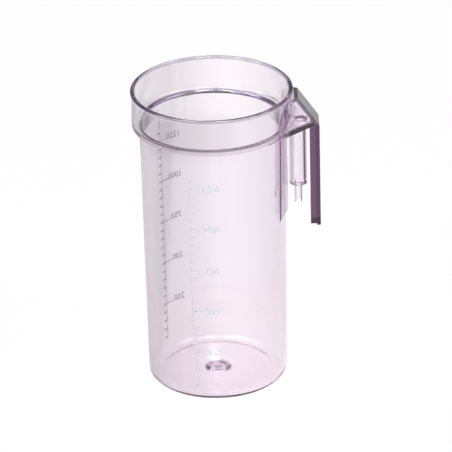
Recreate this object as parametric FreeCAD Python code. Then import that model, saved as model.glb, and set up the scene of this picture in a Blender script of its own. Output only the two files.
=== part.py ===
import FreeCAD, Part
import math
import os

from FreeCAD import Vector

# Suction canister jar, moulded in one piece from clear polycarbonate.
# Lengths are in millimetres. The origin is on the bench under the middle of the jar,
# +Z points up through the open mouth and +X points to the hanging hook.

# Body, below the collar
body_height = 200.0          # bench to the underside of the collar
body_radius = 52.6           # outside, right under the collar
draft_angle = 0.55           # degrees that each side leans in towards the floor
wall = 2.6
floor_thickness = 2.4
floor_corner_radius = 3.6    # inside, between floor and wall

# Heel and foot ring that the jar stands on
heel_radius = 6.0
foot_ring_width = 3.0
foot_ring_height = 0.5

# Gate of the mould: a well under the floor, with its boss inside the jar
gate_boss_radius = 9.3
gate_boss_height = 1.8
gate_well_radius = 6.6
gate_skin = 1.8              # plastic left above the well
gate_pip_radius = 2.6
gate_pip_length = 1.4

# Collar that takes the lid
collar_radius = 58.0
collar_height = 27.5
collar_wall = 2.7
collar_corner_chamfer = 0.9
ledge_thickness = 3.4        # at the collar wall
ledge_fall = 0.4             # slope of the ledge towards the jar
ledge_chamfer = 0.8          # from ledge to body wall
rim_bead_projection = 0.5
rim_bead_height = 2.2
rim_edge_chamfer = 0.5

# Hollow arm between the collar and the hook
arm_height = 22.0            # from the collar's underside to the arm's flat top
arm_flat = 3.6               # flat top, from the collar to where the roof starts to fall
arm_shelf = 3.1
arm_roof = 2.8
arm_cheek = 2.3
arm_band = 3.7               # side face of the roof where it meets the hook, along X
arm_band_top = 1.6           # the same side face at the flat top
arm_bite = 0.3               # how far the cheeks' tangents cut into the collar's outside
arm_edge_radius = 0.9        # outer edges of arm and hook

# Hook: a solid tongue of T section that slides down into a holder on the wall
hook_stand = 19.0            # from the collar to the hook's outer face
hook_width = 20.0
hook_drop = 79.0             # below the collar's underside
hook_flange = 2.8
hook_depth = 7.2             # over flange and neck
hook_neck_width = 15.0

# Vacuum port under the arm
port_stand = 3.2             # from the collar to the port's axis
port_radius = 6.4
port_wall = 2.0
port_drop = 49.5             # below the collar's underside
port_chamfer = 0.8
spigot_radius = 3.05
spigot_bore_radius = 1.9
spigot_length = 14.5
spigot_chamfer = 0.5

# Window from the jar into the arm
window_width = 15.0
window_height = 10.5
window_sill = 2.5            # above the ledge
window_corner_radius = 2.5

# Pair of ribs that hold the jar off the wall plate
rib_span = 44.0              # over both ribs
rib_thickness = 2.6
rib_stand = 0.6              # outer edge beyond the body's radius under the collar
rib_drop = 59.0              # below the collar's underside
rib_run_out = 14.0           # height of the sloping lower end

# Modelling allowances, with no effect on the finished shape
overrun = 1.0                # how far a cut runs past the face that it opens
closeness = 0.01             # how near a point lies to a face that it counts as part of

top = body_height + collar_height
arm_top_reach = collar_radius + arm_flat
hook_reach = collar_radius + hook_stand
port_reach = collar_radius + port_stand
rib_reach = body_radius + rib_stand
draft = math.tan(math.radians(draft_angle))


def wall_radius(height):
    """Outside radius of the body at a height."""
    return body_radius - (body_height - height) * draft


def rounded_outline(corners):
    """Closed wire through (x, z, radius) corners in the XZ plane, each corner rounded."""
    count = len(corners)
    points = [Vector(x, 0, z) for x, z, radius in corners]
    ends = []
    for i, (x, z, radius) in enumerate(corners):
        here = points[i]
        back = (points[i - 1] - here).normalize()
        ahead = (points[(i + 1) % count] - here).normalize()
        half = back.getAngle(ahead) / 2
        if radius == 0:
            ends.append((here, None, here))
            continue
        trim = radius / math.tan(half)
        middle = (back + ahead).normalize()
        bulge = here + middle * (radius / math.sin(half) - radius)
        ends.append((here + back * trim, bulge, here + ahead * trim))
    edges = []
    for i, (start, bulge, end) in enumerate(ends):
        if bulge is not None:
            edges.append(Part.Arc(start, bulge, end).toShape())
        following = ends[(i + 1) % count][0]
        edges.append(Part.LineSegment(end, following).toShape())
    return Part.Wire(edges)


def turned(corners):
    """Solid of revolution about the jar's axis."""
    face = Part.Face(rounded_outline(corners))
    return face.revolve(Vector(0, 0, 0), Vector(0, 0, 1), 360)


def upright(radius, low, high, reach=0.0):
    """Cylinder between two heights, with its axis reach along X."""
    return Part.makeCylinder(radius, high - low, Vector(reach, 0, low))


def block(x_low, x_high, y_low, y_high, z_low, z_high):
    size = (x_high - x_low, y_high - y_low, z_high - z_low)
    return Part.makeBox(*size, Vector(x_low, y_low, z_low))


def mirrored(shape):
    """The same shape on the other side of the bracket's middle plane."""
    return shape.mirror(Vector(0, 0, 0), Vector(0, 1, 0))


def jar():
    """Body, heel, floor, gate, ledge, collar and rim bead as one turned profile."""
    ring_inside = wall_radius(0) - heel_radius - foot_ring_width
    inside = body_radius - wall
    bore = collar_radius - collar_wall
    rim = collar_radius + rim_bead_projection
    ledge = body_height + ledge_thickness
    floor = foot_ring_height + floor_thickness
    boss_top = floor + gate_boss_height
    well_top = boss_top - gate_skin
    bead_low = top - rim_bead_height
    return turned([
        (0, well_top - gate_pip_length, 0),
        (gate_pip_radius, well_top - gate_pip_length, 0),
        (gate_pip_radius, well_top, 0),
        (gate_well_radius, well_top, 0),
        (gate_well_radius, foot_ring_height, 0),
        (ring_inside, foot_ring_height, 0),
        (ring_inside + foot_ring_height, 0, 0),
        (wall_radius(0), 0, heel_radius),
        (body_radius, body_height, 0),
        (collar_radius - collar_corner_chamfer, body_height, 0),
        (collar_radius, body_height + collar_corner_chamfer, 0),
        (collar_radius, bead_low - rim_bead_projection, 0),
        (rim, bead_low, 0),
        (rim, top - rim_edge_chamfer, 0),
        (rim - rim_edge_chamfer, top, 0),
        (bore + rim_edge_chamfer, top, 0),
        (bore, top - rim_edge_chamfer, 0),
        (bore, ledge, 0),
        (inside + ledge_chamfer, ledge - ledge_fall, 0),
        (inside, ledge - ledge_fall - ledge_chamfer, 0),
        (wall_radius(floor) - wall, floor, floor_corner_radius),
        (gate_boss_radius, floor, 0),
        (gate_boss_radius - gate_boss_height / 2, boss_top, 0),
        (0, boss_top, 0),
    ])


def tangent_point(x, y, radius):
    """Where the line from (x, y) touches a circle about the jar's axis, on the side of +Y."""
    bearing = math.atan2(y, x) + math.acos(radius / math.hypot(x, y))
    return radius * math.cos(bearing), radius * math.sin(bearing)


def symmetric_outline(half, height):
    """Closed wire through (x, y) points and their reflections in the middle plane."""
    corners = [(x, -y) for x, y in half] + [(x, y) for x, y in reversed(half)]
    return Part.makePolygon([Vector(x, y, height) for x, y in corners + corners[:1]])


def front_reach(height):
    """How far the bracket's front stands from the jar's axis: upright hook, then falling roof."""
    share = max(0, height - body_height) / arm_height
    return hook_reach + share * (arm_top_reach - hook_reach)


def arm_section(height, band):
    """Outside of the arm at one height: nose, side faces and cheeks that run into the collar."""
    corner = (front_reach(height) - band, hook_width / 2)
    root = tangent_point(*corner, collar_radius - arm_bite)
    return symmetric_outline([root, corner, (front_reach(height), hook_width / 2)], height)


def hollow_section(height):
    """Inside of the arm at one height, a wall in from the outside."""
    fall = math.hypot(arm_height, hook_reach - arm_top_reach) / arm_height
    corner = (front_reach(height) - arm_roof * fall, hook_width / 2 - arm_cheek)
    root = tangent_point(*corner, collar_radius - arm_bite - arm_cheek)
    return symmetric_outline([root, corner], height)


def bracket():
    """Arm and hook as one block with rounded edges, and the space that is hollow in the arm."""
    arm_top = body_height + arm_height
    arm = Part.makeLoft([arm_section(body_height, arm_band),
                         arm_section(arm_top, arm_band_top)], True, True)
    block_shape = arm.fuse(hook()).removeSplitter()
    rounded = [edge for edge in block_shape.Edges if is_skin(edge) or is_crest(edge)]
    block_shape = block_shape.makeFillet(arm_edge_radius, rounded)
    hollow = Part.makeLoft([hollow_section(body_height + arm_shelf),
                            hollow_section(arm_top - arm_roof)], True, True)
    return block_shape.cut(collar_core(collar_wall / 2)), hollow.cut(collar_core(0))


def collar_core(depth):
    """Round block that fills the collar to a depth inside its outer face."""
    return upright(collar_radius - depth, body_height - overrun, top)


def is_skin(edge):
    """Edges round the bracket's front and at its bend, from the hook's foot to the flat top."""
    ends = [vertex.Point for vertex in edge.Vertexes]
    return all(abs(point.x - front_reach(point.z)) < closeness for point in ends)


def is_crest(edge):
    """Edges of the arm's flat top that show outside the collar."""
    ends = [vertex.Point for vertex in edge.Vertexes]
    at_top = all(abs(point.z - body_height - arm_height) < closeness for point in ends)
    return at_top and any(point.x > collar_radius for point in ends)


def hook():
    """Tongue of T section: a wide flange outside and a narrower neck towards the jar."""
    low = body_height - hook_drop
    half = hook_width / 2
    neck = hook_neck_width / 2
    inner = hook_reach - hook_flange
    flange = block(inner, hook_reach, -half, half, low, body_height)
    rear = block(hook_reach - hook_depth, inner, -neck, neck, low, body_height)
    return flange.fuse(rear).removeSplitter()


def port():
    """Closed tube under the arm that narrows to a hose spigot."""
    shoulder = body_height - port_drop
    end = shoulder - spigot_length
    tube = upright(port_radius, shoulder, body_height + arm_shelf / 2, port_reach)
    spigot = upright(spigot_radius, end, shoulder + port_wall / 2, port_reach)
    return tube.makeChamfer(port_chamfer, foot_edges(tube, shoulder)).fuse(
        spigot.makeChamfer(spigot_chamfer, foot_edges(spigot, end)))


def foot_edges(shape, height):
    """Edges of the shape's lower end."""
    return [edge for edge in shape.Edges if edge.BoundBox.ZMax < height + closeness]


def port_bore():
    """Way for the air: wide in the tube, narrow in the spigot, open into the arm."""
    shoulder = body_height - port_drop
    wide = upright(port_radius - port_wall, shoulder + port_wall,
                   body_height + arm_shelf + overrun, port_reach)
    narrow = upright(spigot_bore_radius, shoulder - spigot_length - overrun,
                     shoulder + port_wall + overrun, port_reach)
    return [wide, narrow]


def window():
    """Rounded opening through the collar wall, from the jar's mouth into the arm."""
    sill = body_height + ledge_thickness + window_sill
    half = window_width / 2
    cut = block(0, collar_radius + overrun, -half, half, sill, sill + window_height)
    along = [edge for edge in cut.Edges if edge.BoundBox.XLength > collar_radius / 2]
    return cut.makeFillet(window_corner_radius, along)


def rib():
    """One upright rib on the body under the arm, with a sloping lower end."""
    outside = rib_span / 2
    low = body_height - rib_drop
    root = math.sqrt(wall_radius(low) ** 2 - outside ** 2) - wall / 2
    side = Part.makePolygon([
        Vector(root, -outside, body_height + arm_shelf / 2),
        Vector(rib_reach, -outside, body_height + arm_shelf / 2),
        Vector(rib_reach, -outside, low),
        Vector(root, -outside, low - rib_run_out),
        Vector(root, -outside, body_height + arm_shelf / 2),
    ])
    plate = Part.Face(side).extrude(Vector(0, rib_thickness, 0))
    return plate.cut(inner_body())


def inner_body():
    """Space inside the body wall, taken a little into the wall so that ribs root there."""
    deep = wall / 2
    return Part.makeCone(wall_radius(0) - deep, wall_radius(top) - deep, top)


def canister():
    bracket_block, arm_hollow = bracket()
    one_rib = rib()
    whole = jar().fuse([bracket_block, port(), one_rib, mirrored(one_rib)])
    whole = whole.cut([arm_hollow, window()] + port_bore())
    return whole.removeSplitter().Solids[0]


os.makedirs("parts", exist_ok=True)
shape = canister()
print("canister", shape.ShapeType, "solids", len(shape.Solids), "valid", shape.isValid(),
      "volume cm3", round(shape.Volume / 1000, 1))
shape.exportStep("parts/canister.step")
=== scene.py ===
import math

import bmesh
import bpy
from mathutils import Matrix, Vector


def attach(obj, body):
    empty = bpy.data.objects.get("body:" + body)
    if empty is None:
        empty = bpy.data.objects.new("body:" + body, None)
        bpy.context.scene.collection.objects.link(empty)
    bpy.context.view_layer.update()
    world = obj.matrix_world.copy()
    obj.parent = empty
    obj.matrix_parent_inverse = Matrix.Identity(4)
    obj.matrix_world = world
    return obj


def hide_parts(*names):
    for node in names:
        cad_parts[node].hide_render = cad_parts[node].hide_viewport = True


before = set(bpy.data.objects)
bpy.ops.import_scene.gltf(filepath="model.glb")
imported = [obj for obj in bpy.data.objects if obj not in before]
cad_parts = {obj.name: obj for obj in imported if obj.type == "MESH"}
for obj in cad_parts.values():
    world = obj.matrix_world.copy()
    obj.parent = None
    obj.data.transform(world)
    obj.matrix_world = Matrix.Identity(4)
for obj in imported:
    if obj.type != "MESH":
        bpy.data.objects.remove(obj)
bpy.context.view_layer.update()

scene = bpy.context.scene
mm = 0.001          # lengths in the dictionaries are millimetres
fullTurn = 2 * math.pi


# small helpers for meshes

meshing = {
    "merge": 0.002,         # vertices closer than this become one
    "mergeFlat": 0.01,      # the same before the bracket's edges are rounded
    "mergeJoined": 0.004,   # the same once the moulding is whole
    "near": 0.01,           # how far a vertex may lie from where it is looked for
    "overrun": 1.0,         # how far a cutting form stands past what it cuts
    "overlap": 0.5,         # how far a joined form reaches into its neighbour
    "flatBelow": 1.0,       # degrees, under which two faces are one
    "smoothBelow": 30.0,    # degrees, under which an edge is shaded as round
    "smoothJoined": 32.0,
    "shadingWeight": 80,    # how much more the large faces count in the shading
}


def newPiece(name, bm):
    bmesh.ops.remove_doubles(bm, verts=bm.verts, dist=meshing["merge"] * mm)
    bmesh.ops.recalc_face_normals(bm, faces=bm.faces)
    for face in bm.faces:
        face.smooth = True
    mesh = bpy.data.meshes.new(name)
    bm.to_mesh(mesh)
    bm.free()
    mesh.set_sharp_from_angle(angle=math.radians(meshing["smoothBelow"]))
    piece = bpy.data.objects.new(name, mesh)
    scene.collection.objects.link(piece)
    return piece


def bakeModifiers(piece):
    depsgraph = bpy.context.evaluated_depsgraph_get()
    mesh = bpy.data.meshes.new_from_object(piece.evaluated_get(depsgraph))
    piece.modifiers.clear()
    oldMesh = piece.data
    piece.data = mesh
    bpy.data.meshes.remove(oldMesh)


def combine(piece, tool, operation):
    # the tool is used up
    boolean = piece.modifiers.new("combine", "BOOLEAN")
    boolean.operation = operation
    boolean.solver = "EXACT"
    boolean.object = tool
    bakeModifiers(piece)
    toolMesh = tool.data
    bpy.data.objects.remove(tool)
    bpy.data.meshes.remove(toolMesh)


def addBox(bm, low, high):
    size = Vector(high) - Vector(low)
    place = Matrix.Translation((Vector(low) + size / 2) * mm) @ Matrix.Diagonal((*(size * mm), 1))
    return bmesh.ops.create_cube(bm, size=1, matrix=place)["verts"]


def addRod(bm, radius, low, high, reach=0.0, endRadius=None, steps=96):
    # upright, endRadius is at the lower end
    place = Matrix.Translation((reach * mm, 0, (low + high) / 2 * mm))
    return bmesh.ops.create_cone(
        bm, cap_ends=True, segments=steps, radius1=(endRadius or radius) * mm,
        radius2=radius * mm, depth=(high - low) * mm, matrix=place)["verts"]


def softenEdges(bm, edges, size, segments):
    bmesh.ops.bevel(bm, geom=edges, offset=size * mm, offset_type="OFFSET", segments=segments,
                    profile=0.5, affect="EDGES", clamp_overlap=True, material=-1)


def edgesWhere(bm, test):
    return [edge for edge in bm.edges if all(test(vert.co / mm) for vert in edge.verts)]


def settleOrder(bm):
    # a spin lists its new edges and faces in another order each run
    bm.verts.index_update()
    for items in (bm.edges, bm.faces):
        ranked = sorted(items, key=lambda item: sorted(vert.index for vert in item.verts))
        rank = {item: i for i, item in enumerate(ranked)}
        items.sort(key=rank.get)


# body, foot and collar, turned as one profile

body = {
    "height": 200.0,        # bench to the collar's underside
    "radius": 52.6,
    "draft": math.tan(math.radians(0.55)),
    "wall": 2.6,
    "floor": 2.9,           # top of the floor
    "floorCorner": 3.6,
    "heel": 6.0,
    "throat": 9.0,          # depth of the thick neck under the ledge
    "ringWidth": 3.0,
    "ringHeight": 0.5,
    "ringSlope": 2.5,
    "bossRadius": 9.3,
    "bossHeight": 1.8,
    "bossEdge": 0.6,
    "wellRadius": 6.6,
    "wellTop": 2.9,
    "wellEdge": 0.4,
    "pipRadius": 2.6,       # stub of the gate inside the well
    "pipLength": 1.4,
    "pipEdge": 0.3,
    "ringEdge": 1.0,
    "neckEdge": 0.5,        # where the body meets the collar's underside
    "steps": 256,
    "edgeSteps": 5,
}

collar = {
    "radius": 58.0,
    "height": 27.5,
    "wall": 2.7,
    "corner": 1.6,
    "ledge": 3.4,
    "ledgeFall": 0.4,
    "ledgeEdge": 2.3,
    "bead": 0.5,
    "beadHeight": 2.2,
    "beadEdge": 0.3,
    "ledgeRoot": 0.7,       # hollow corner between ledge and wall
    "rimEdge": 1.1,
}
top = body["height"] + collar["height"]
bodyInside = body["radius"] - body["wall"]
collarInside = collar["radius"] - collar["wall"]


def wallRadius(z):
    return body["radius"] - (body["height"] - z) * body["draft"]


def roundCorner(bm, x, z, trim):
    place = Vector((x * mm, 0, z * mm))
    corner = [vert for vert in bm.verts if (vert.co - place).length < meshing["near"] * mm]
    bmesh.ops.bevel(bm, geom=corner, offset=trim * mm, offset_type="OFFSET", segments=body["edgeSteps"],
                    profile=0.5, affect="VERTICES", clamp_overlap=True, material=-1)


def makeShell():
    ringInside = wallRadius(0) - body["heel"] - body["ringWidth"]
    bossTop = body["floor"] + body["bossHeight"]
    ledgeTop = body["height"] + collar["ledge"]
    ledgeLow = ledgeTop - collar["ledgeFall"]
    rim = collar["radius"] + collar["bead"]
    beadLow = top - collar["beadHeight"]
    corners = [     # x, z, how far the rounding reaches along both sides
        (0, body["wellTop"] - body["pipLength"], 0),
        (body["pipRadius"], body["wellTop"] - body["pipLength"], body["pipEdge"]),
        (body["pipRadius"], body["wellTop"], body["pipEdge"]),
        (body["wellRadius"], body["wellTop"], body["wellEdge"]),
        (body["wellRadius"], body["ringHeight"], body["wellEdge"]),
        (ringInside - body["ringSlope"], body["ringHeight"], body["ringEdge"]),
        (ringInside + body["ringHeight"], 0, body["ringEdge"]),
        (wallRadius(0), 0, body["heel"]),
        (body["radius"], body["height"], body["neckEdge"]),
        (collar["radius"], body["height"], collar["corner"]),
        (collar["radius"], beadLow - collar["bead"], collar["beadEdge"]),
        (rim, beadLow, collar["beadEdge"]),
        (rim, top, collar["rimEdge"]),
        (collarInside, top, collar["rimEdge"]),
        (collarInside, ledgeTop, collar["ledgeRoot"]),
        (bodyInside, ledgeLow, collar["ledgeEdge"]),
        (wallRadius(body["floor"]) - body["wall"], body["floor"], body["floorCorner"]),
        (body["bossRadius"], body["floor"], body["bossEdge"]),
        (body["bossRadius"] - body["bossHeight"] / 2, bossTop, body["bossEdge"]),
        (0, bossTop, 0),
    ]
    bm = bmesh.new()
    bm.faces.new([bm.verts.new((x * mm, 0, z * mm)) for x, z, trim in corners])
    for x, z, trim in corners:
        if trim:
            roundCorner(bm, x, z, trim)
    bmesh.ops.delete(bm, geom=bm.faces[:], context="FACES_ONLY")
    onAxis = edgesWhere(bm, lambda co: abs(co.x) < meshing["near"])
    bmesh.ops.delete(bm, geom=onAxis, context="EDGES")
    bmesh.ops.spin(bm, geom=bm.verts[:] + bm.edges[:], cent=(0, 0, 0), axis=(0, 0, 1),
                   angle=fullTurn, steps=body["steps"], use_merge=True)
    settleOrder(bm)
    return newPiece("jar", bm)


# hollow arm, hook and vacuum port

arm = {
    "height": 22.0,
    "flat": 3.6,            # flat top beyond the collar
    "shelf": 3.1,
    "roof": 2.8,
    "cheek": 2.3,
    "bandLow": 3.7,         # side face of the roof at the hook and at the flat top
    "bandHigh": 1.6,
    "bite": 0.3,            # how far the cheeks run into the collar
    "edge": 0.9,
    "insideEdge": 0.7,
}

hook = {
    "reach": 77.0,
    "width": 20.0,
    "drop": 79.0,
    "flange": 2.8,
    "depth": 7.2,
    "neck": 15.0,
}

port = {
    "reach": 61.2,
    "radius": 6.4,
    "wall": 2.0,
    "drop": 49.5,
    "edge": 0.8,
    "spigot": 3.05,
    "bore": 1.9,
    "spigotLength": 14.5,
    "spigotEdge": 0.5,
}

rib = {
    "span": 44.0,
    "thickness": 2.6,
    "reach": 53.2,
    "drop": 59.0,
    "runOut": 14.0,
    "edge": 0.3,
}

window = {
    "width": 15.0,
    "height": 10.5,
    "sill": 205.9,
    "corner": 2.5,
    "depth": 3 * collar["wall"],
}


def frontReach(z):
    # the hook's face is upright, and the roof falls from the flat top to it
    share = max(0, z - body["height"]) / arm["height"]
    return hook["reach"] + share * (collar["radius"] + arm["flat"] - hook["reach"])


def tangentPoint(x, y, radius):
    # where a straight cheek from this corner meets the collar
    bearing = math.atan2(y, x) + math.acos(radius / math.hypot(x, y))
    return radius * math.cos(bearing), radius * math.sin(bearing)


def addOutline(bm, half, z):
    # half of the outline on the side of +Y, from the jar outwards
    points = half + [(x, -y) for x, y in reversed(half)]
    return bm.faces.new([bm.verts.new((x * mm, y * mm, z * mm)) for x, y in points])


def addLoft(bm, lowHalf, lowZ, highHalf, highZ):
    low = addOutline(bm, lowHalf, lowZ)
    high = addOutline(bm, highHalf, highZ)
    bmesh.ops.bridge_loops(bm, edges=low.edges[:] + high.edges[:])


def armOutside(z, band):
    corner = (frontReach(z) - band, hook["width"] / 2)
    return [tangentPoint(*corner, collar["radius"] - arm["bite"]), corner,
            (frontReach(z), hook["width"] / 2)]


def armInside(z):
    # the roof's thickness is taken across its slope
    fall = math.hypot(arm["height"], hook["reach"] - collar["radius"] - arm["flat"]) / arm["height"]
    corner = (frontReach(z) - arm["roof"] * fall, hook["width"] / 2 - arm["cheek"])
    return [tangentPoint(*corner, collar["radius"] - arm["bite"] - arm["cheek"]), corner]


def coreRod(depth):
    # what lies inside the collar's wall
    bm = bmesh.new()
    addRod(bm, collar["radius"] - depth, body["height"] - meshing["overrun"], top + meshing["overrun"],
           steps=body["steps"])
    return newPiece("core", bm)


def makeBracket():
    armTop = body["height"] + arm["height"]
    bm = bmesh.new()
    addLoft(bm, armOutside(body["height"], arm["bandLow"]), body["height"],
            armOutside(armTop, arm["bandHigh"]), armTop)
    bracket = newPiece("bracket", bm)

    low = body["height"] - hook["drop"]
    inner = hook["reach"] - hook["flange"]
    bm = bmesh.new()
    addBox(bm, (inner, -hook["width"] / 2, low), (hook["reach"], hook["width"] / 2, body["height"]))
    combine(bracket, newPiece("flange", bm), "UNION")
    bm = bmesh.new()
    addBox(bm, (hook["reach"] - hook["depth"], -hook["neck"] / 2, low),
           (inner + meshing["overlap"], hook["neck"] / 2, body["height"] + meshing["overlap"]))
    combine(bracket, newPiece("neck", bm), "UNION")

    # round the outer edges
    bm = bmesh.new()
    bm.from_mesh(bracket.data)
    bmesh.ops.remove_doubles(bm, verts=bm.verts, dist=meshing["mergeFlat"] * mm)
    bmesh.ops.dissolve_limit(bm, angle_limit=math.radians(meshing["flatBelow"]), verts=bm.verts,
                             edges=bm.edges)
    outer = set(edgesWhere(bm, lambda co: abs(co.x - frontReach(co.z)) < meshing["near"]))
    outer |= {edge for edge in edgesWhere(bm, lambda co: abs(co.z - armTop) < meshing["near"])
              if any(vert.co.x > collar["radius"] * mm for vert in edge.verts)}
    softenEdges(bm, list(outer), arm["edge"], segments=5)
    bm.to_mesh(bracket.data)
    bm.free()
    combine(bracket, coreRod(collar["wall"] / 2), "DIFFERENCE")
    return bracket


def makeTube():
    shoulder = body["height"] - port["drop"]
    bm = bmesh.new()
    addRod(bm, port["radius"], shoulder, body["height"] + arm["shelf"] / 2, port["reach"])
    foot = edgesWhere(bm, lambda co: abs(co.z - shoulder) < meshing["near"])
    softenEdges(bm, foot, port["edge"], segments=5)
    tube = newPiece("tube", bm)
    end = shoulder - port["spigotLength"]
    bm = bmesh.new()
    addRod(bm, port["spigot"], end, shoulder + port["wall"] / 2, port["reach"], steps=64)
    foot = edgesWhere(bm, lambda co: abs(co.z - end) < meshing["near"])
    softenEdges(bm, foot, port["spigotEdge"], segments=4)
    combine(tube, newPiece("spigot", bm), "UNION")
    return tube


def makeRib(mirrored):
    # made on the side of -Y, and mirrored for the other side
    outside = rib["span"] / 2
    low = body["height"] - rib["drop"]
    high = body["height"] + arm["shelf"] / 2
    root = math.sqrt(wallRadius(low) ** 2 - outside ** 2) - body["wall"] / 2
    outline = [(root, high), (rib["reach"], high), (rib["reach"], low), (root, low - rib["runOut"])]
    bm = bmesh.new()
    for y in (-outside, rib["thickness"] - outside):
        bm.faces.new([bm.verts.new((x * mm, y * mm, z * mm)) for x, z in outline])
    bmesh.ops.bridge_loops(bm, edges=bm.edges[:])
    bmesh.ops.recalc_face_normals(bm, faces=bm.faces)
    outer = edgesWhere(bm, lambda co: co.x > rib["reach"] - meshing["near"])
    softenEdges(bm, outer, rib["edge"], segments=3)
    bmesh.ops.scale(bm, verts=bm.verts, vec=(1, -1 if mirrored else 1, 1))
    plate = newPiece("rib", bm)
    rooted = body["wall"] / 2
    bm = bmesh.new()
    addRod(bm, wallRadius(top) - rooted, 0, top, endRadius=wallRadius(0) - rooted, steps=body["steps"])
    combine(plate, newPiece("inside", bm), "DIFFERENCE")
    return plate


def makeHollow():
    low = body["height"] + arm["shelf"]
    high = body["height"] + arm["height"] - arm["roof"]
    bm = bmesh.new()
    addLoft(bm, armInside(low), low, armInside(high), high)
    upright = [edge for edge in bm.edges
               if abs(edge.verts[0].co.z - edge.verts[1].co.z) > arm["height"] / 2 * mm]
    softenEdges(bm, upright, arm["insideEdge"], segments=4)
    hollow = newPiece("hollow", bm)
    combine(hollow, coreRod(0), "DIFFERENCE")

    shoulder = body["height"] - port["drop"]
    overrun = meshing["overrun"]
    bm = bmesh.new()
    addRod(bm, port["radius"] - port["wall"], shoulder + port["wall"], low + overrun, port["reach"])
    combine(hollow, newPiece("bore", bm), "UNION")
    bm = bmesh.new()
    addRod(bm, port["bore"], shoulder - port["spigotLength"] - overrun,
           shoulder + port["wall"] + overrun, port["reach"], steps=64)
    combine(hollow, newPiece("narrowBore", bm), "UNION")

    half = window["width"] / 2
    bm = bmesh.new()
    addBox(bm, (collar["radius"] - window["depth"], -half, window["sill"]),
           (collar["radius"] + meshing["overlap"], half, window["sill"] + window["height"]))
    along = [edge for edge in bm.edges
             if abs(edge.verts[0].co.x - edge.verts[1].co.x) > window["depth"] / 2 * mm]
    softenEdges(bm, along, window["corner"], segments=6)
    combine(hollow, newPiece("window", bm), "UNION")
    return hollow


def makeCanister():
    canister = makeShell()
    print("jar turned", len(canister.data.polygons), "faces")
    canister.name = canister.data.name = "canister_moulding"
    combine(canister, makeBracket(), "UNION")
    combine(canister, makeTube(), "UNION")
    for mirrored in (False, True):
        combine(canister, makeRib(mirrored), "UNION")
    print("bracket, tube and ribs joined", len(canister.data.polygons), "faces")
    combine(canister, makeHollow(), "DIFFERENCE")
    print("arm hollowed", len(canister.data.polygons), "faces")
    bm = bmesh.new()
    bm.from_mesh(canister.data)
    bmesh.ops.remove_doubles(bm, verts=bm.verts, dist=meshing["mergeJoined"] * mm)
    bmesh.ops.dissolve_degenerate(bm, edges=bm.edges, dist=meshing["mergeJoined"] * mm)
    wires = [edge for edge in bm.edges if not edge.link_faces]
    bmesh.ops.delete(bm, geom=wires, context="EDGES")
    openEdges = [edge for edge in bm.edges if len(edge.link_faces) != 2]
    print("open edges", len(openEdges), "volume cm3", round(bm.calc_volume() * 1e6, 1))
    for face in bm.faces:
        face.smooth = True
    bm.to_mesh(canister.data)
    bm.free()
    canister.data.set_sharp_from_angle(angle=math.radians(meshing["smoothJoined"]))
    weighted = canister.modifiers.new("shading", "WEIGHTED_NORMAL")
    weighted.weight = meshing["shadingWeight"]
    weighted.keep_sharp = True
    bakeModifiers(canister)
    return canister


# printed scales on the wall

scale = {
    "step": 50,             # millilitres between ticks
    "numberStep": 250,
    "last": 1300,
    "lift": 0.03,           # print stands off the wall
    "zero": 5.2,            # height of the empty mark, level with the boss
    "line": 0.8,
    "numberHeight": 4.6,
    "capitals": 0.7,        # share of the font's size that a number is tall
    "curveSteps": 3,
    "slice": 0.8,           # widest flat strip when the print is bent round
    "cutWithin": 0.0001,
}


def levelHeight(volume):
    # a cone that widens upwards, volume in ml
    radius = wallRadius(scale["zero"]) - body["wall"]
    taper = body["draft"]
    cube = radius ** 3 + 3 * taper * volume * 1000 / math.pi
    return scale["zero"] + (cube ** (1 / 3) - radius) / taper


def addBar(bm, fromX, toX, z, thickness):
    # flat bar in the plane of arc length and height
    middle = Matrix.Translation(((fromX + toX) / 2 * mm, z * mm, 0))
    size = Matrix.Diagonal((abs(toX - fromX) * mm, thickness * mm, 1, 1))
    bmesh.ops.create_grid(bm, x_segments=1, y_segments=1, size=0.5, matrix=middle @ size)


def addNumber(bm, words, x, z, bold):
    curve = bpy.data.curves.new("number", "FONT")
    curve.body = words
    curve.size = scale["numberHeight"] * mm / scale["capitals"]
    curve.align_x = "CENTER"
    curve.align_y = "CENTER"
    curve.resolution_u = scale["curveSteps"]
    curve.offset = bold * mm
    holder = bpy.data.objects.new("number", curve)
    scene.collection.objects.link(holder)
    depsgraph = bpy.context.evaluated_depsgraph_get()
    flat = bpy.data.meshes.new_from_object(holder.evaluated_get(depsgraph))
    flat.transform(Matrix.Translation((x * mm, z * mm, 0)))
    bm.from_mesh(flat)
    bpy.data.objects.remove(holder)
    bpy.data.curves.remove(curve)
    bpy.data.meshes.remove(flat)


def wrapRound(bm, azimuth):
    # slices the flat print and bends it round the wall
    xs = [vert.co.x / mm for vert in bm.verts]
    count = int((max(xs) - min(xs)) / scale["slice"])
    for i in range(1, count + 1):
        bmesh.ops.bisect_plane(bm, geom=bm.verts[:] + bm.edges[:] + bm.faces[:],
                               dist=scale["cutWithin"] * mm, plane_no=(1, 0, 0),
                               plane_co=((min(xs) + i * scale["slice"]) * mm, 0, 0))
    for vert in bm.verts:
        along, height = vert.co.x / mm, vert.co.y / mm
        radius = wallRadius(height) + scale["lift"]
        bearing = math.radians(azimuth) + along / radius
        vert.co = Vector((radius * math.cos(bearing), radius * math.sin(bearing), height)) * mm


def printPiece(name, bm):
    mesh = bpy.data.meshes.new(name)
    bm.to_mesh(mesh)
    bm.free()
    piece = bpy.data.objects.new(name, mesh)
    scene.collection.objects.link(piece)
    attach(piece, "root")
    return piece


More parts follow.
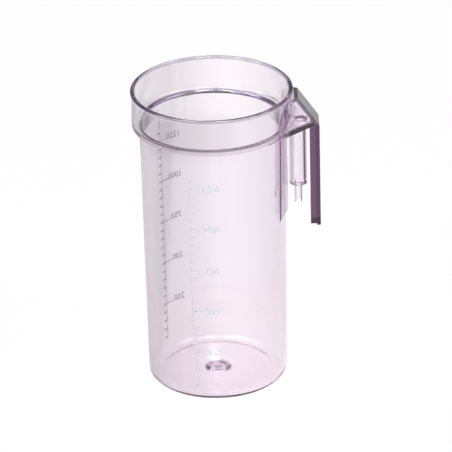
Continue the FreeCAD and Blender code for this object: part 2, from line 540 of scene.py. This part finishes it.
darkScale = {
    "spine": 140.0,         # azimuth on the far wall
    "low": 12.0,
    "high": 196.0,
    "numberOffset": 13.5,   # from the spine, towards the hook
    "leader": 7.5,
    "numberLift": 1.0,
    "tick": 4.0,
    "tickLine": 1.5,
    "bold": 0.16,           # added round the strokes of the numbers
    "ink": (0.20, 0.15, 0.22),
    "cover": 0.85,          # how well the ink hides the plastic
}

paleScale = {
    "spine": -110.0,
    "low": 8.0,
    "high": 176.0,
    "numberOffset": 15.5,
    "tick": 4.4,
    "leader": 8.0,
    "bold": 0.36,
    "ink": (0.86, 0.93, 1.0),
    "cover": 0.9,
}


def makeDarkScale():
    bm = bmesh.new()
    addBar(bm, -scale["line"] / 2, scale["line"] / 2, (darkScale["low"] + darkScale["high"]) / 2,
           darkScale["high"] - darkScale["low"])
    for volume in range(scale["step"], scale["last"] + 1, scale["step"]):
        z = levelHeight(volume)
        addBar(bm, 0, darkScale["tick"], z, darkScale["tickLine"])
        if volume % scale["numberStep"] == 0:
            addBar(bm, -darkScale["leader"], 0, z, scale["line"])
            addNumber(bm, str(volume), -darkScale["numberOffset"], z + darkScale["numberLift"],
                      darkScale["bold"])
    wrapRound(bm, darkScale["spine"])
    return printPiece("dark_scale", bm)


def makePaleScale():
    bm = bmesh.new()
    addBar(bm, -scale["line"] / 2, scale["line"] / 2, (paleScale["low"] + paleScale["high"]) / 2,
           paleScale["high"] - paleScale["low"])
    for volume in range(scale["step"], scale["last"] + 1, scale["step"]):
        z = levelHeight(volume)
        addBar(bm, 0, paleScale["tick"], z, scale["line"])
        if volume % scale["numberStep"] == 0:
            addBar(bm, 0, paleScale["leader"], z, scale["line"])
            addNumber(bm, str(volume), paleScale["numberOffset"], z, paleScale["bold"])
    wrapRound(bm, paleScale["spine"])
    return printPiece("pale_scale", bm)


# materials

plastic = {
    "ior": 1.5,
    "roughness": 0.02,
    "absorption": (0.42, 0.22, 0.44),
    "density": 44.0,        # per metre
    "tint": (0.985, 0.965, 0.98),
    # painted shade on the thick gate boss
    "gatePaintedShade": (0.76, 0.68, 0.74),
    # painted shade on the ledge
    "ledgePaintedShade": (0.88, 0.86, 0.88),
    "lipPaintedShade": (0.24, 0.23, 0.30),      # painted shade on the rounded edge of the ledge
    # painted shade on the rounded rim
    "rimPaintedShade": (0.44, 0.40, 0.48),
    "rimReach": 1.8,        # how far down the rim's painted shade reaches
    # painted shade on the ribs
    "ribPaintedShade": (0.80, 0.73, 0.80),
    # painted shade: a near-black line along the arm's shelf
    "shelfPaintedShade": (0.002, 0.001, 0.003),
    # painted shade on the slanted roof and its sides
    "roofPaintedShade": (0.03, 0.027, 0.036),
    "roofSidePaintedShade": (0.34, 0.32, 0.37),
    # painted shade on the thick hook's neck and flange
    "neckPaintedShade": (0.215, 0.115, 0.20),
    "flangePaintedShade": (0.155, 0.080, 0.155),
    "edgePaintedShade": (0.80, 0.79, 0.84),     # painted shade on faces seen at a low angle
    "edgeSlant": (0.74, 1.0),
    "throatPaintedShade": (0.02, 0.025, 0.05),  # painted shade on the body wall under the ledge, at a low angle
    "throatSlant": (0.40, 0.70),
    "heelPaintedShade": (0.045, 0.042, 0.075),  # painted shade on the heel, at a low angle
    "heelSlant": (0.45, 0.85),
    "shadow": (0.90, 0.85, 0.90),
    "escape": (0.86, 0.82, 0.87),
    "escapeInArm": (0.97, 0.95, 0.98),
    "caught": 12.5,         # bounces before light gets out of the wall
    "caughtInArm": 4.5,
    "armFrom": 42.0,
    "armFull": 46.0,
    "wave": 28.0,           # faint unevenness of the polished wall
    "waveDetail": 2.0,
    "waveStrength": 0.06,
    "waveDepth": 0.5,
    "marks": 900.0,         # fine handling marks
    "marksDetail": 3.0,
    "marksRange": (0.35, 0.75),
    "marksRoughness": 0.08,
}

paintedShadeZone = {      # millimetres that each zone of painted shade reaches past its own faces, or fades over
    "margin": 0.2,
    "gate": 1.0,
    "heel": 2.0,            # how far up from the bench
    "ribMargin": 0.1,
    "ribFade": 3.0,
    "underArm": 0.05,
    "shelfTrim": (0.1, 0.3),
    "shelfSide": (1.2, 0.6),
    "shelfFade": (9.0, 2.0),
    "frontFade": (0.3, 0.2),
    "roofSide": (0.7, 0.3),
    "neckFade": (0.6, 0.2),
}


def newMaterial(name):
    material = bpy.data.materials.new(name)
    material.use_nodes = True
    material.node_tree.nodes.clear()
    return material, material.node_tree


def calculate(tree, operation, first, second=0.0):
    node = tree.nodes.new("ShaderNodeMath")
    node.operation = operation
    tree.links.new(first, node.inputs[0])
    if isinstance(second, float):
        node.inputs[1].default_value = second
    else:
        tree.links.new(second, node.inputs[1])
    return node.outputs[0]


def product(tree, first, *others):
    for other in others:
        first = calculate(tree, "MULTIPLY", first, other)
    return first


def softStep(tree, source, start, end, low=0.0, high=1.0, kind="SMOOTHSTEP"):
    ramp = tree.nodes.new("ShaderNodeMapRange")
    ramp.interpolation_type = kind
    ramp.inputs["From Min"].default_value = start
    ramp.inputs["From Max"].default_value = end
    ramp.inputs["To Min"].default_value = low
    ramp.inputs["To Max"].default_value = high
    tree.links.new(source, ramp.inputs["Value"])
    return ramp.outputs["Result"]


def between(tree, source, low, high):
    # 1 between two places in millimetres
    above = calculate(tree, "GREATER_THAN", source, low * mm)
    return product(tree, above, calculate(tree, "LESS_THAN", source, high * mm))


def vectorLength(tree, place, keep=(1, 1, 1)):
    kept = tree.nodes.new("ShaderNodeVectorMath")
    kept.operation = "MULTIPLY"
    kept.inputs[1].default_value = keep
    tree.links.new(place, kept.inputs[0])
    length = tree.nodes.new("ShaderNodeVectorMath")
    length.operation = "LENGTH"
    tree.links.new(kept.outputs["Vector"], length.inputs[0])
    return length.outputs["Value"]


def splitPlace(tree, place):
    split = tree.nodes.new("ShaderNodeSeparateXYZ")
    tree.links.new(place, split.inputs["Vector"])
    return [split.outputs[axis] for axis in "XYZ"]


def slantOf(tree):
    # 0 face on, 1 edge on
    slant = tree.nodes.new("ShaderNodeLayerWeight")
    slant.inputs["Blend"].default_value = 0.5
    return slant.outputs["Facing"]


def jarZones(tree, place, slant):
    # painted shade: each thick form, rounded edge and low-angle face has its zone, where the colour is
    # darkened to stand for light lost in the plastic
    up = splitPlace(tree, place)[2]
    fromAxis = vectorLength(tree, place, keep=(1, 1, 0))
    margin = paintedShadeZone["margin"]
    ledgeTop = body["height"] + collar["ledge"]
    lipEnd = bodyInside + collar["ledgeEdge"]
    lipLow = ledgeTop - collar["ledgeFall"] - collar["ledgeEdge"]
    atLedge = between(tree, up, lipLow, ledgeTop + margin)
    inThroat = product(tree, calculate(tree, "LESS_THAN", fromAxis, (bodyInside + margin) * mm),
                       between(tree, up, lipLow - body["throat"], ledgeTop))
    inHeel = product(tree, calculate(tree, "LESS_THAN", up, paintedShadeZone["heel"] * mm),
                     calculate(tree, "GREATER_THAN", fromAxis, (wallRadius(0) - body["heel"]) * mm))
    return {
        "gatePaintedShade": calculate(tree, "LESS_THAN", vectorLength(tree, place),
                              (body["bossRadius"] + paintedShadeZone["gate"]) * mm),
        "throatPaintedShade": product(tree, inThroat, softStep(tree, slant, *plastic["throatSlant"])),
        "heelPaintedShade": product(tree, inHeel, softStep(tree, slant, *plastic["heelSlant"])),
        "ledgePaintedShade": product(tree, between(tree, fromAxis, lipEnd, collarInside - margin), atLedge),
        "lipPaintedShade": product(tree, between(tree, fromAxis, bodyInside - margin, lipEnd), atLedge),
        "rimPaintedShade": calculate(tree, "GREATER_THAN", up, (top - plastic["rimReach"]) * mm),
    }


def armZones(tree, place):
    # painted shade on the ribs, shelf, roof, neck and flange of the arm and hook
    along, across, up = splitPlace(tree, place)
    aside = calculate(tree, "ABSOLUTE", across)

    def rise(source, end, fade):
        return softStep(tree, source, (end - fade[0]) * mm, (end - fade[1]) * mm)

    underArm = calculate(tree, "LESS_THAN", up, (body["height"] + paintedShadeZone["underArm"]) * mm)
    ribSide = rib["span"] / 2
    ribRoot = math.sqrt(wallRadius(body["height"] - rib["drop"] / 2) ** 2 - ribSide ** 2)
    ribMargin = paintedShadeZone["ribMargin"]
    onRib = between(tree, aside, ribSide - rib["thickness"] - ribMargin, ribSide + ribMargin)
    outOnRib = softStep(tree, along, ribRoot * mm, (rib["reach"] - paintedShadeZone["ribFade"]) * mm)
    armSide = hook["width"] / 2
    shelfLow, shelfHigh = paintedShadeZone["shelfTrim"]
    onShelf = between(tree, up, body["height"] + shelfLow, body["height"] + arm["shelf"] - shelfHigh)
    # the slanted front unrolled, so that one limit holds for roof and flange
    slope = (hook["reach"] - collar["radius"] - arm["flat"]) / arm["height"]
    aboveBend = calculate(tree, "MAXIMUM", calculate(tree, "SUBTRACT", up, body["height"] * mm))
    unrolled = calculate(tree, "ADD", along, product(tree, aboveBend, slope))
    front = hook["reach"] - hook["flange"]
    frontLow, frontHigh = paintedShadeZone["frontFade"]
    onFront = softStep(tree, unrolled, (front - frontLow) * mm, (front + frontHigh) * mm)
    return {
        "ribPaintedShade": product(tree, onRib, outOnRib, underArm),
        "shelfPaintedShade": product(tree, onShelf, rise(aside, armSide, paintedShadeZone["shelfSide"]),
                             rise(along, collar["radius"], paintedShadeZone["shelfFade"])),
        "roofPaintedShade": onFront,
        "roofSidePaintedShade": product(tree, onFront, rise(aside, armSide, paintedShadeZone["roofSide"])),
        "neckPaintedShade": product(tree, underArm,
                            rise(along, hook["reach"] - hook["depth"], paintedShadeZone["neckFade"])),
        "flangePaintedShade": product(tree, underArm, onFront),
    }


def mixColour(tree, factor, under, colour, kind="MIX"):
    blend = tree.nodes.new("ShaderNodeMix")
    blend.data_type = "RGBA"
    blend.blend_type = kind
    tree.links.new(factor, blend.inputs[0])
    if isinstance(under, tuple):
        blend.inputs[6].default_value = (*under, 1)
    else:
        tree.links.new(under, blend.inputs[6])
    blend.inputs[7].default_value = (*colour, 1)
    return blend.outputs[2]


def polish(tree, place, shader):
    # the wall is faintly uneven and has fine handling marks
    wave = tree.nodes.new("ShaderNodeTexNoise")
    wave.inputs["Scale"].default_value = plastic["wave"]
    wave.inputs["Detail"].default_value = plastic["waveDetail"]
    tree.links.new(place, wave.inputs["Vector"])
    bump = tree.nodes.new("ShaderNodeBump")
    bump.inputs["Strength"].default_value = plastic["waveStrength"]
    bump.inputs["Distance"].default_value = plastic["waveDepth"] * mm
    tree.links.new(wave.outputs["Fac"], bump.inputs["Height"])
    tree.links.new(bump.outputs["Normal"], shader.inputs["Normal"])
    marks = tree.nodes.new("ShaderNodeTexNoise")
    marks.inputs["Scale"].default_value = plastic["marks"]
    marks.inputs["Detail"].default_value = plastic["marksDetail"]
    tree.links.new(place, marks.inputs["Vector"])
    rough = softStep(tree, marks.outputs["Fac"], *plastic["marksRange"], plastic["roughness"],
                     plastic["marksRoughness"])
    tree.links.new(rough, shader.inputs["Roughness"])


def letLightOut(tree, place, shader):
    # shadows stay light, and light that is caught in the wall gets out after some bounces
    rays = tree.nodes.new("ShaderNodeLightPath")
    inArm = softStep(tree, splitPlace(tree, place)[0], plastic["armFrom"] * mm, plastic["armFull"] * mm)
    limit = softStep(tree, inArm, 0.0, 1.0, plastic["caught"], plastic["caughtInArm"])
    loss = mixColour(tree, inArm, plastic["escape"], plastic["escapeInArm"])
    loss = mixColour(tree, rays.outputs["Is Shadow Ray"], loss, plastic["shadow"])
    clear = tree.nodes.new("ShaderNodeBsdfTransparent")
    tree.links.new(loss, clear.inputs["Color"])
    getsOut = calculate(tree, "GREATER_THAN", rays.outputs["Ray Depth"], limit)
    passes = calculate(tree, "MAXIMUM", rays.outputs["Is Shadow Ray"], getsOut)
    mix = tree.nodes.new("ShaderNodeMixShader")
    tree.links.new(passes, mix.inputs["Fac"])
    tree.links.new(shader.outputs["BSDF"], mix.inputs[1])
    tree.links.new(clear.outputs["BSDF"], mix.inputs[2])
    return mix.outputs["Shader"]


def makeClearPlastic():
    material, tree = newMaterial("clear_violet_plastic")
    shader = tree.nodes.new("ShaderNodeBsdfPrincipled")
    shader.inputs["IOR"].default_value = plastic["ior"]
    shader.inputs["Transmission Weight"].default_value = 1.0
    place = tree.nodes.new("ShaderNodeTexCoord").outputs["Object"]
    slant = slantOf(tree)
    colour = plastic["tint"]
    # each zone darkens the colour with its painted shade
    for name, zone in {**jarZones(tree, place, slant), **armZones(tree, place)}.items():
        colour = mixColour(tree, zone, colour, plastic[name])
    # painted shade on faces seen at a low angle
    lowAngle = softStep(tree, slant, *plastic["edgeSlant"])
    colour = mixColour(tree, lowAngle, colour, plastic["edgePaintedShade"], "MULTIPLY")
    tree.links.new(colour, shader.inputs["Base Color"])
    polish(tree, place, shader)

    depth = tree.nodes.new("ShaderNodeVolumeAbsorption")
    depth.inputs["Color"].default_value = (*plastic["absorption"], 1)
    depth.inputs["Density"].default_value = plastic["density"]
    output = tree.nodes.new("ShaderNodeOutputMaterial")
    tree.links.new(letLightOut(tree, place, shader), output.inputs["Surface"])
    tree.links.new(depth.outputs["Volume"], output.inputs["Volume"])
    return material


ink = {
    "roughness": 0.45,
    "wear": 420.0,          # size of the worn patches in the print
    "wearDetail": 4.0,
    "wearRange": (0.3, 0.6),
    "worn": 0.6,            # share of the cover that is left in a worn patch
}


def makeInk(name, colour, cover):
    material, tree = newMaterial(name)
    shader = tree.nodes.new("ShaderNodeBsdfPrincipled")
    shader.inputs["Base Color"].default_value = (*colour, 1)
    shader.inputs["Roughness"].default_value = ink["roughness"]
    patch = tree.nodes.new("ShaderNodeTexNoise")
    patch.inputs["Scale"].default_value = ink["wear"]
    patch.inputs["Detail"].default_value = ink["wearDetail"]
    tree.links.new(tree.nodes.new("ShaderNodeTexCoord").outputs["Object"], patch.inputs["Vector"])
    left = softStep(tree, patch.outputs["Fac"], *ink["wearRange"], cover * ink["worn"], cover, "LINEAR")
    tree.links.new(left, shader.inputs["Alpha"])
    output = tree.nodes.new("ShaderNodeOutputMaterial")
    tree.links.new(shader.outputs["BSDF"], output.inputs["Surface"])
    return material


# studio

studio = {
    "floorSize": 9.0,
    "floorGlow": 0.90,
    "floorColour": 0.115,
    "floorDull": 0.8,       # for light that bounces off it
    "sky": 1.0,
    "room": (0.55, 1.35),   # strength to the left and to the right
    "roomTurn": 0.8,        # how far to each side it still changes
    "roomLevels": [(0.12, (1, 1, 1)), (0.22, (0.40, 0.38, 0.40)), (0.60, (0.35, 0.3325, 0.35)),
                   (0.80, (0.85, 0.8075, 0.85)), (0.95, (1, 1, 1))],     # by height
    "lampAim": (0, 0, 0.11),
    "shadeReach": 0.09,     # metres to both sides of the jar
    "shade": [(0.0, 1.0), (0.16, 0.86), (0.24, 0.86), (0.42, 1.0), (0.56, 1.19), (0.66, 1.14),
              (0.8, 1.06), (1.0, 1.0)],     # from left to right
    "leftShade": 0.19,      # what the floor loses to the left of the jar
    "leftFrom": -0.039,
    "leftFull": -0.051,
    "frontShade": 0.3,      # right in front of its foot
    "frontStrip": (-0.080, -0.062, -0.053, -0.044),
    "frontHalf": (0.045, 0.065),
    "farShade": 0.15,       # in a strip behind it
    "farStrip": (0.360, 0.385, 0.435, 0.465),
    "farRight": (0.012, 0.035),
    "backShade": 0.035,     # and beyond that strip
    "warm": (0.985, 0.955, 0.945),      # floor light close to the jar
    "warmUntil": (0.06, 0.20),
}

lamps = [   # place in metres, width, height, watts, lights dull surfaces too
    ("key", (-1.3, -1.3, 1.9), 0.7, 0.7, 14.0, True),
    ("fill", (1.6, -0.9, 1.5), 0.5, 0.9, 10.0, True),
    ("window", (-0.01, 1.853, 0.951), 0.014, 0.030, 0.05, False),
    ("ceiling_1", (1.15, -0.05, 1.65), 0.4, 1.0, 9.0, False),
    ("ceiling_2", (0.28, -0.58, 1.9), 0.4, 1.0, 25.0, False),
    ("ceiling_3", (-0.6, -0.48, 1.85), 0.4, 1.0, 25.0, False),
    ("ceiling_4", (-1.15, -0.05, 1.65), 0.4, 1.0, 25.0, False),
]

view = {
    "place": (0.0, -3.00907, 1.58253),
    "aim": (0.0081, 0.0, 0.1170),
    "lens": 366.37,
    "sensor": 36.0,
    "clipEnd": 30.0,
    "lean": math.radians(-1.38),
}


def shadeAcross(tree, across):
    # strength of the floor's light from left to right
    spread = softStep(tree, across, -studio["shadeReach"], studio["shadeReach"], kind="LINEAR")
    shade = tree.nodes.new("ShaderNodeValToRGB")
    shade.color_ramp.interpolation = "B_SPLINE"
    stops = shade.color_ramp.elements
    for position, level in studio["shade"][1:-1]:
        stops.new(position)
    for stop, (position, level) in zip(stops, studio["shade"]):
        stop.position = position
        stop.color = (level / 2, level / 2, level / 2, 1)     # halved to stay under 1
    tree.links.new(spread, shade.inputs["Fac"])
    return product(tree, shade.outputs["Color"], studio["floorGlow"] * 2)


def shadeAround(tree, across, away):
    # 1, less what each shaded patch of the floor takes
    stripFrom, stripFull, stripUntil, stripEnd = studio["farStrip"]
    frontEnd, frontUntil, frontFull, frontFrom = studio["frontStrip"]
    near = softStep(tree, away, stripUntil, stripEnd, 1.0, 0.0)
    left = product(tree, softStep(tree, across, studio["leftFrom"], studio["leftFull"]), near,
                   -studio["leftShade"])
    strip = product(tree, near, softStep(tree, away, stripFrom, stripFull),
                    softStep(tree, across, *studio["farRight"], 1.0, 0.0), -studio["farShade"])
    front = product(tree, softStep(tree, away, frontFrom, frontFull),
                    softStep(tree, away, frontEnd, frontUntil, 0.0, -studio["frontShade"]),
                    softStep(tree, calculate(tree, "ABSOLUTE", across), *studio["frontHalf"], 1.0, 0.0))
    back = softStep(tree, away, stripUntil, stripEnd, 0.0, -studio["backShade"])
    rest = calculate(tree, "ADD", left, 1.0)
    for patch in (strip, front, back):
        rest = calculate(tree, "ADD", rest, patch)
    return rest


def makeFloorMaterial():
    material, tree = newMaterial("pale_floor")
    rays = tree.nodes.new("ShaderNodeLightPath").outputs
    place = tree.nodes.new("ShaderNodeTexCoord").outputs["Object"]
    across, away = splitPlace(tree, place)[:2]
    dull = tree.nodes.new("ShaderNodeBsdfDiffuse")
    dull.inputs["Color"].default_value = (*[studio["floorDull"]] * 3, 1)
    faint = tree.nodes.new("ShaderNodeBsdfDiffuse")
    faint.inputs["Color"].default_value = (*[studio["floorColour"]] * 3, 1)
    glow = tree.nodes.new("ShaderNodeEmission")

    # even where the camera sees it, softly shaded where the plastic shows it
    shaded = product(tree, shadeAcross(tree, across), shadeAround(tree, across, away))
    level = tree.nodes.new("ShaderNodeMix")
    tree.links.new(rays["Is Camera Ray"], level.inputs[0])
    tree.links.new(shaded, level.inputs[2])
    level.inputs[3].default_value = studio["floorGlow"]
    tree.links.new(level.outputs[0], glow.inputs["Strength"])
    far = softStep(tree, away, *studio["warmUntil"])
    far = calculate(tree, "MAXIMUM", far, rays["Is Camera Ray"])
    tree.links.new(mixColour(tree, far, studio["warm"], (1.0, 1.0, 1.0)), glow.inputs["Color"])

    both = tree.nodes.new("ShaderNodeAddShader")
    tree.links.new(faint.outputs["BSDF"], both.inputs[0])
    tree.links.new(glow.outputs["Emission"], both.inputs[1])
    seen = calculate(tree, "ADD", rays["Is Camera Ray"], rays["Is Glossy Ray"])
    seen = calculate(tree, "ADD", seen, rays["Is Transmission Ray"])
    mix = tree.nodes.new("ShaderNodeMixShader")
    tree.links.new(calculate(tree, "MINIMUM", seen, 1.0), mix.inputs["Fac"])
    tree.links.new(dull.outputs["BSDF"], mix.inputs[1])
    tree.links.new(both.outputs["Shader"], mix.inputs[2])
    output = tree.nodes.new("ShaderNodeOutputMaterial")
    tree.links.new(mix.outputs["Shader"], output.inputs["Surface"])
    return material


def makeFloor():
    bm = bmesh.new()
    bmesh.ops.create_circle(bm, cap_ends=True, radius=studio["floorSize"], segments=64)
    mesh = bpy.data.meshes.new("floor")
    bm.to_mesh(mesh)
    bm.free()
    mesh.materials.append(makeFloorMaterial())
    floor = bpy.data.objects.new("floor", mesh)
    scene.collection.objects.link(floor)


def makeWorld():
    world = bpy.data.worlds.new("studio")
    scene.world = world
    world.use_nodes = True
    tree = world.node_tree
    tree.nodes.clear()
    direction = tree.nodes.new("ShaderNodeTexCoord").outputs["Generated"]
    across, up = splitPlace(tree, direction)[::2]
    ramp = tree.nodes.new("ShaderNodeValToRGB")
    stops = ramp.color_ramp.elements
    for position, colour in studio["roomLevels"][1:-1]:
        stops.new(position)
    for stop, (position, colour) in zip(stops, studio["roomLevels"]):
        stop.position = position
        stop.color = (*colour, 1)
    tree.links.new(up, ramp.inputs["Fac"])
    room = tree.nodes.new("ShaderNodeBackground")
    tree.links.new(ramp.outputs["Color"], room.inputs["Color"])
    side = softStep(tree, across, -studio["roomTurn"], studio["roomTurn"], *studio["room"])
    tree.links.new(side, room.inputs["Strength"])
    white = tree.nodes.new("ShaderNodeBackground")
    white.inputs["Strength"].default_value = studio["sky"]
    rays = tree.nodes.new("ShaderNodeLightPath")
    mix = tree.nodes.new("ShaderNodeMixShader")
    tree.links.new(rays.outputs["Is Camera Ray"], mix.inputs["Fac"])
    tree.links.new(room.outputs["Background"], mix.inputs[1])
    tree.links.new(white.outputs["Background"], mix.inputs[2])
    output = tree.nodes.new("ShaderNodeOutputWorld")
    tree.links.new(mix.outputs["Shader"], output.inputs["Surface"])


def lookAt(place, aim, lean=0.0):
    direction = Vector(aim) - Vector(place)
    turn = direction.to_track_quat("-Z", "Y").to_matrix().to_4x4()
    return Matrix.Translation(place) @ turn @ Matrix.Rotation(lean, 4, "Z")


def makeStudio():
    makeFloor()
    makeWorld()
    for name, place, width, height, watts, onDull in lamps:
        data = bpy.data.lights.new(name, "AREA")
        data.shape = "RECTANGLE"
        data.size, data.size_y, data.energy = width, height, watts
        lamp = bpy.data.objects.new(name, data)
        scene.collection.objects.link(lamp)
        lamp.matrix_world = lookAt(place, studio["lampAim"])
        lamp.visible_camera = False
        lamp.visible_diffuse = onDull
    data = bpy.data.cameras.new("camera")
    data.sensor_width = view["sensor"]
    data.lens = view["lens"]
    data.clip_end = view["clipEnd"]
    camera = bpy.data.objects.new("camera", data)
    scene.collection.objects.link(camera)
    camera.matrix_world = lookAt(view["place"], view["aim"], view["lean"])
    scene.camera = camera


canister = makeCanister()
canister.data.materials.clear()
canister.data.materials.append(makeClearPlastic())
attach(canister, "root")
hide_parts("canister")
print("canister done")

darkPrint = makeDarkScale()
darkPrint.data.materials.append(makeInk("dark_ink", darkScale["ink"], darkScale["cover"]))
palePrint = makePaleScale()
palePrint.data.materials.append(makeInk("pale_ink", paleScale["ink"], paleScale["cover"]))
print("scales done")

makeStudio()
scene.view_settings.view_transform = "Standard"
scene.cycles.max_bounces = 32
scene.cycles.glossy_bounces = 24        # light runs far inside thick clear plastic
scene.cycles.transmission_bounces = 24
scene.cycles.transparent_max_bounces = 16
print("studio done")
